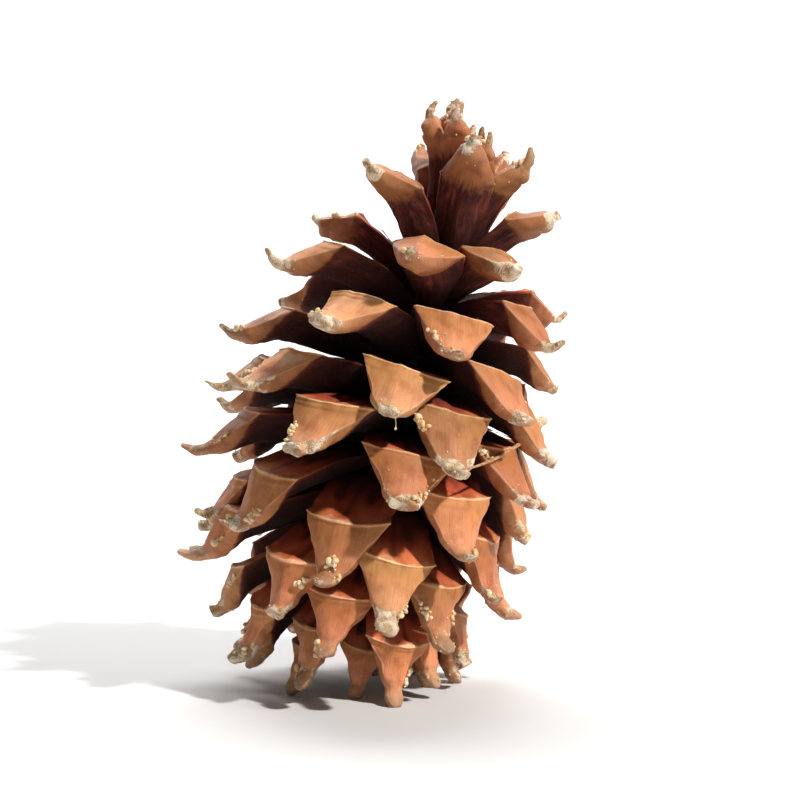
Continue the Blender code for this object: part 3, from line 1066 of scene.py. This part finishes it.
def lump_piece(name, spots, level, place, material, draw):
    """Many uneven lumps as one piece."""
    points, triangles = blob_mesh(level)
    vertices = []
    faces = []
    for count, (spot, size) in enumerate(spots):
        stretch = np.array([draw.uniform(0.7, 1.25) for _ in range(3)])
        lumps = 1.0 + 0.30 * noise(points * 1.6 + spot, 1.0, 11)
        vertices.append(place(spot + points * stretch * size * lumps[:, None]))
        faces += (triangles + count * len(points)).tolist()
    return mesh_piece(name, np.concatenate(vertices), faces, material)


def tube_piece(name, line, radii, place, material):
    """A thin closed tube through the points of a line, in millimetres."""
    line = np.array(line)
    ahead = np.gradient(line, axis=0)
    ahead = ahead / np.linalg.norm(ahead, axis=1, keepdims=True)
    across = np.cross(ahead, (0.0, 1.0, 0.3))
    across = across / np.linalg.norm(across, axis=1, keepdims=True)
    other = np.cross(ahead, across)
    turns = np.linspace(0.0, 2.0 * math.pi, TUBE_SIDES, endpoint=False)[None, :, None]
    circle = np.cos(turns) * across[:, None] + np.sin(turns) * other[:, None]
    rows = line[:, None] + circle * np.array(radii)[:, None, None]
    vertices = np.concatenate([rows.reshape(-1, 3), line[:1], line[-1:]])
    quads, fans = tube_faces(len(line), TUBE_SIDES)
    turned_over = quads[:, [0, 3, 2, 1]].tolist() + fans[:, ::-1].tolist()
    return mesh_piece(name, place(vertices), turned_over, material)


def drip_piece(scale, place, material):
    """A thread of resin that hangs from a claw and ends in a drop."""
    skin = scale["grid"].reshape(-1, 3)
    start = skin[np.argmin(skin[:, 2])] + np.array([0.0, 0.0, 0.4])
    steps = np.linspace(0.0, 1.0, 24)
    line = [start + np.array([0.25 * math.sin(3.0 * t), 0.0, -DRIP_LENGTH * t]) for t in steps]
    radii = 0.10 + 0.35 * hump(steps, 0.12) + 0.34 * hump(steps - 0.88, 0.10)
    radii[-1] = 0.08
    return tube_piece("resin_drip", line, radii, place, material)


def needle_piece(claw_scale, ridge_scale, place, material):
    """A dry broken needle that leans on a claw and lies across the ridge of the scale behind it."""
    low = off_skin(claw_scale, row_at(CLAW + 0.2), TOP_COLUMNS - 1, 0.5)
    high = off_skin(ridge_scale, row_at(RIDGE), NEEDLE_COLUMN, 0.6)
    steps = np.linspace(-0.12, 1.3, 16)
    line = [low + (high - low) * t - np.array([0.0, 0.0, 0.8 * math.sin(math.pi * t)]) for t in steps]
    radii = 0.35 + 0.35 * smooth(-0.1, 0.9, steps)
    return tube_piece("dry_needle", line, radii, place, material)


def sliver_corners(scale, draw):
    """Four corners for each row of a torn sliver, which curls off the blade toward its outer end."""
    grid, normals = scale["grid"], scale["normals"]
    first = row_at(draw.uniform(0.5, 1.0))
    last = min(first + draw.randint(7, 13), row_at(RIDGE) - 1)
    column = draw.randint(3, TOP_COLUMNS - 4)
    width = draw.uniform(1.0, 2.4)
    curl = draw.uniform(0.6, 2.2)
    drift = draw.uniform(-0.3, 0.3)
    corners = []
    for row in range(first, last + 1):
        t = (row - first) / (last - first)
        c = int(round(column + drift * (row - first))) % grid.shape[1]
        ahead = grid[row, (c + 1) % grid.shape[1]] - grid[row, c]
        ahead = ahead / np.linalg.norm(ahead)
        out = normals[row, c]
        middle = off_skin(scale, row, c, curl * t * t - 0.1)
        taper = 0.35 + 0.65 * math.sin(math.pi * min(t + 0.12, 1.0)) ** 0.6
        half = width * taper * draw.uniform(0.8, 1.1)
        for side, lift in ((-1.0, 0.0), (1.0, 0.0), (1.0, SLIVER_THICK), (-1.0, SLIVER_THICK)):
            corners.append(middle + ahead * side * half + out * (lift + 0.25 * half))
    return corners


def sliver_piece(scales, place, material, draw):
    """Torn slivers of seed wing that lie on the blades between the scales."""
    vertices = []
    faces = []
    for scale in scales:
        chance = TUFT_SLIVER_CHANCE if scale["index"] > LAST_BODY else SLIVER_CHANCE
        if draw.random() > chance:
            continue
        start = len(vertices)
        vertices += sliver_corners(scale, draw)
        end = len(vertices) - 4
        for a in range(start, end, 4):
            for c in range(4):
                n = (c + 1) % 4
                faces.append((a + c, a + 4 + c, a + 4 + n, a + n))
        faces.append((start, start + 1, start + 2, start + 3))
        faces.append((end + 3, end + 2, end + 1, end))
    return mesh_piece("wing_slivers", place(np.array(vertices)), faces, material)


# The floor, the lights and the camera.

def make_stage():
    """A pale floor that bends up into a wall behind the cone."""
    material, tree, shader = new_material("pale_backdrop")
    fill(tree, shader, {"Base Color": (0.70, 0.70, 0.70), "Roughness": 0.9})
    bend = []
    for k in range(BEND_STEPS + 1):
        turn = math.pi / 2.0 * k / BEND_STEPS
        bend.append((BEND_START + BEND_RADIUS * math.sin(turn), BEND_RADIUS * (1.0 - math.cos(turn))))
    profile = [(FLOOR_FRONT, 0.0)] + bend + [(BEND_START + BEND_RADIUS, WALL_TOP)]
    vertices = [(x, y, z) for y, z in profile for x in (-FLOOR_HALF_WIDTH, FLOOR_HALF_WIDTH)]
    faces = [(2 * k, 2 * k + 1, 2 * k + 3, 2 * k + 2) for k in range(len(profile) - 1)]
    floor = mesh_piece("floor", np.array(vertices), faces, material)


def aim(thing, target):
    """Turn a light or the camera to face a place."""
    direction = Vector(target) - thing.location
    thing.rotation_euler = direction.to_track_quat("-Z", "Y").to_euler()


def add_light(name, place, target, size, power, colour):
    data = bpy.data.lights.new(name, "AREA")
    data.shape = "DISK"
    data.size = size
    data.energy = power
    data.color = colour
    light = bpy.data.objects.new(name, data)
    light.location = place
    bpy.context.scene.collection.objects.link(light)
    aim(light, target)


def light_scene():
    world = bpy.data.worlds.new("studio")
    world.use_nodes = True
    tree = world.node_tree
    fill(tree, tree.nodes["Background"], {"Color": (1.0, 1.0, 1.0), "Strength": WORLD_STRENGTH})
    bpy.context.scene.world = world
    for light in LIGHTS:
        add_light(*light)
    bpy.context.scene.view_settings.view_transform = "Standard"


def add_camera(shift):
    data = bpy.data.cameras.new("camera")
    data.lens = CAMERA_LENS
    data.sensor_width = 36.0
    data.clip_start = 0.01
    data.clip_end = 20.0
    camera = bpy.data.objects.new("camera", data)
    target = Vector((0.0, 0.0, CAMERA_TARGET * MM)) + shift
    camera.location = target + Vector((0.0, -CAMERA_DISTANCE * MM, 0.0))
    bpy.context.scene.collection.objects.link(camera)
    aim(camera, target)
    bpy.context.scene.camera = camera


def cone_shift(plans):
    """What moves the cone, in metres, to stand on its cut claws over the origin."""
    corners = np.concatenate([put_in_place(plan, plan["rings"]).reshape(-1, 3) for plan in plans])
    middle = (corners.min(axis=0) + corners.max(axis=0)) / 2.0
    return Vector((-middle[0] * MM, -middle[1] * MM, -REST_CUT * MM))


def make_cone(scales, place):
    """The core and the scales, which stand for the cone of the frame."""
    wood = scale_material()
    made = [core_piece(place, core_material())]
    for k in range(GROUPS):
        first = len(scales) * k // GROUPS
        last = len(scales) * (k + 1) // GROUPS
        made.append(scale_group("scales_%d" % (k + 1), scales[first:last], place, wood))
    for piece in made:
        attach(piece, "root")
        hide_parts("cone")


def make_debris(scales, place, draw):
    """What has dried or caught on the cone, and rides with it."""
    resin = resin_material()
    straw = dry_material("needle_straw", (0.50, 0.27, 0.12), 900.0)
    wing = dry_material("wing_skin", (0.16, 0.060, 0.040), 500.0)
    clusters, crumbs = resin_spots(scales, draw)
    debris = [
        lump_piece("resin_clusters", clusters, 2, place, resin, draw),
        lump_piece("resin_crumbs", crumbs, 1, place, resin, draw),
        drip_piece(scales[DRIP_SCALE], place, resin),
        needle_piece(scales[NEEDLE_CLAW], scales[NEEDLE_RIDGE], place, straw),
        sliver_piece(scales, place, wing, draw),
    ]
    for piece in debris:
        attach(piece, "root")


def main():
    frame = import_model()
    cad_low, cad_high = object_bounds()

    draw = random.Random(SEED)
    plans = [scale_plan(index, angle, size, draw) for index, angle, size in growth()]
    shift = cone_shift(plans)
    low = np.array(cad_low)
    high = np.array(cad_high)

    def place(points):
        """From the rule's millimetres to the frame, held inside the frame's box."""
        return np.clip(points * MM + np.array(shift), low, high)

    looks = random.Random(SEED + 1)
    scales = [fine_scale(plan, looks) for plan in plans]
    make_cone(scales, place)
    make_debris(scales, place, looks)

    make_stage()
    light_scene()
    add_camera(shift)


main()
